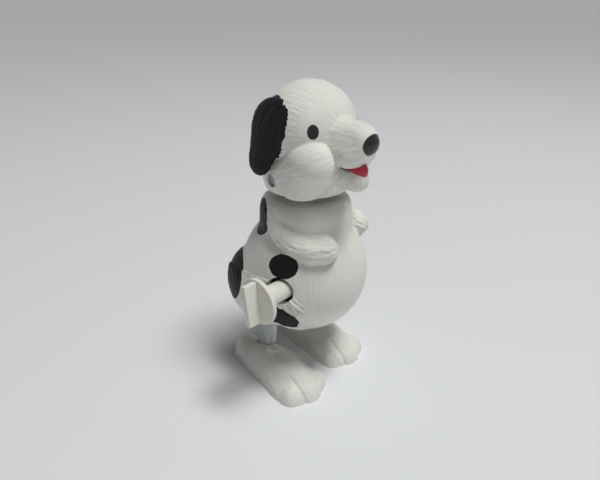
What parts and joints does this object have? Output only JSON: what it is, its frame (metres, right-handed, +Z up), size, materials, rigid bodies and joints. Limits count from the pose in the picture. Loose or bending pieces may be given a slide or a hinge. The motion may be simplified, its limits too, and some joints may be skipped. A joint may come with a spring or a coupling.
{
  "type": "wind-up walking toy",
  "caption": "Upright moulded plastic puppy that walks on large three-toed feet by a spring and crank clockwork, wound by a side key, with a head that nods on a pin.",
  "frame": {"origin": "middle of the bottom of the toy's box, on the surface that its feet stand on", "axes": "+Z up; -Y is the way the toy faces; -X is its right side, where the key is"},
  "size_m": [0.0468, 0.0458, 0.0867],
  "materials": {
    "white_plastic": "moulded ABS with fine hair grooves and black and red paint",
    "cream_plastic": "smooth moulded polypropylene",
    "clear_plastic": "clear moulded polystyrene",
    "nylon": "moulded nylon",
    "steel": "drawn wire and strip"
  },
  "bodies": {
    "body": {"body_shell_right": "white_plastic", "body_shell_left": "white_plastic", "gearbox_right": "clear_plastic", "gearbox_left": "clear_plastic", "gearbox_screw_1": "steel", "gearbox_screw_2": "steel", "gearbox_screw_3": "steel", "mainspring": "steel", "idler_pin": "steel", "escape_pin": "steel", "pallet_pin": "steel", "head_pivot_pin": "steel"},
    "winder": {"winding_key": "cream_plastic", "winding_arbor": "steel", "great_wheel": "nylon"},
    "idler": {"idler_gear": "nylon"},
    "escape": {"escape_wheel": "nylon"},
    "rocker": {"pallet": "nylon"},
    "crankshaft": {"crank_shaft": "steel", "crank_pinion": "nylon", "crank_right": "nylon", "crank_left": "nylon"},
    "right_step": {"leg_right": "clear_plastic", "foot_right": "white_plastic"},
    "left_step": {"leg_left": "clear_plastic", "foot_left": "white_plastic"},
    "head": {"head_shell_right": "white_plastic", "head_shell_left": "white_plastic"}
  },
  "joints": [
    {"name": "crank_spin", "type": "hinge", "parent": "body", "child": "crankshaft", "pos_m": [0.00451, 0.00708, 0.02359], "axis": [1, 0, 0], "continuous": true},
    {"name": "idler_spin", "type": "hinge", "parent": "body", "child": "idler", "pos_m": [0.00451, 0.00372, 0.03349], "axis": [1, 0, 0], "continuous": true},
    {"name": "winder_spin", "type": "hinge", "parent": "body", "child": "winder", "pos_m": [0.00451, -0.00631, 0.0352], "axis": [1, 0, 0], "continuous": true},
    {"name": "escape_spin", "type": "hinge", "parent": "body", "child": "escape", "pos_m": [0.00451, 0.00642, 0.04358], "axis": [1, 0, 0], "continuous": true},
    {"name": "pallet_rock", "type": "hinge", "parent": "body", "child": "rocker", "pos_m": [0.00451, 0.0051, 0.05106], "axis": [1, 0, 0], "range_deg": [-4, 4]},
    {"name": "right_foot_swing", "type": "hinge", "parent": "crankshaft", "child": "right_step", "pos_m": [0.00451, 0.00548, 0.02359], "axis": [1, 0, 0], "continuous": true},
    {"name": "left_foot_swing", "type": "hinge", "parent": "crankshaft", "child": "left_step", "pos_m": [0.00451, 0.00868, 0.02359], "axis": [1, 0, 0], "continuous": true},
    {"name": "head_nod", "type": "hinge", "parent": "body", "child": "head", "pos_m": [0.00451, 0.00089, 0.0626], "axis": [1, 0, 0], "range_deg": [-10, 8]}
  ],
  "couplings": [
    {"joint": "idler_spin", "follows": "crank_spin", "ratio": -0.35714},
    {"joint": "winder_spin", "follows": "crank_spin", "ratio": 0.13228},
    {"joint": "escape_spin", "follows": "crank_spin", "ratio": 1},
    {"joint": "right_foot_swing", "follows": "crank_spin", "ratio": -1},
    {"joint": "left_foot_swing", "follows": "crank_spin", "ratio": -1}
  ]
}
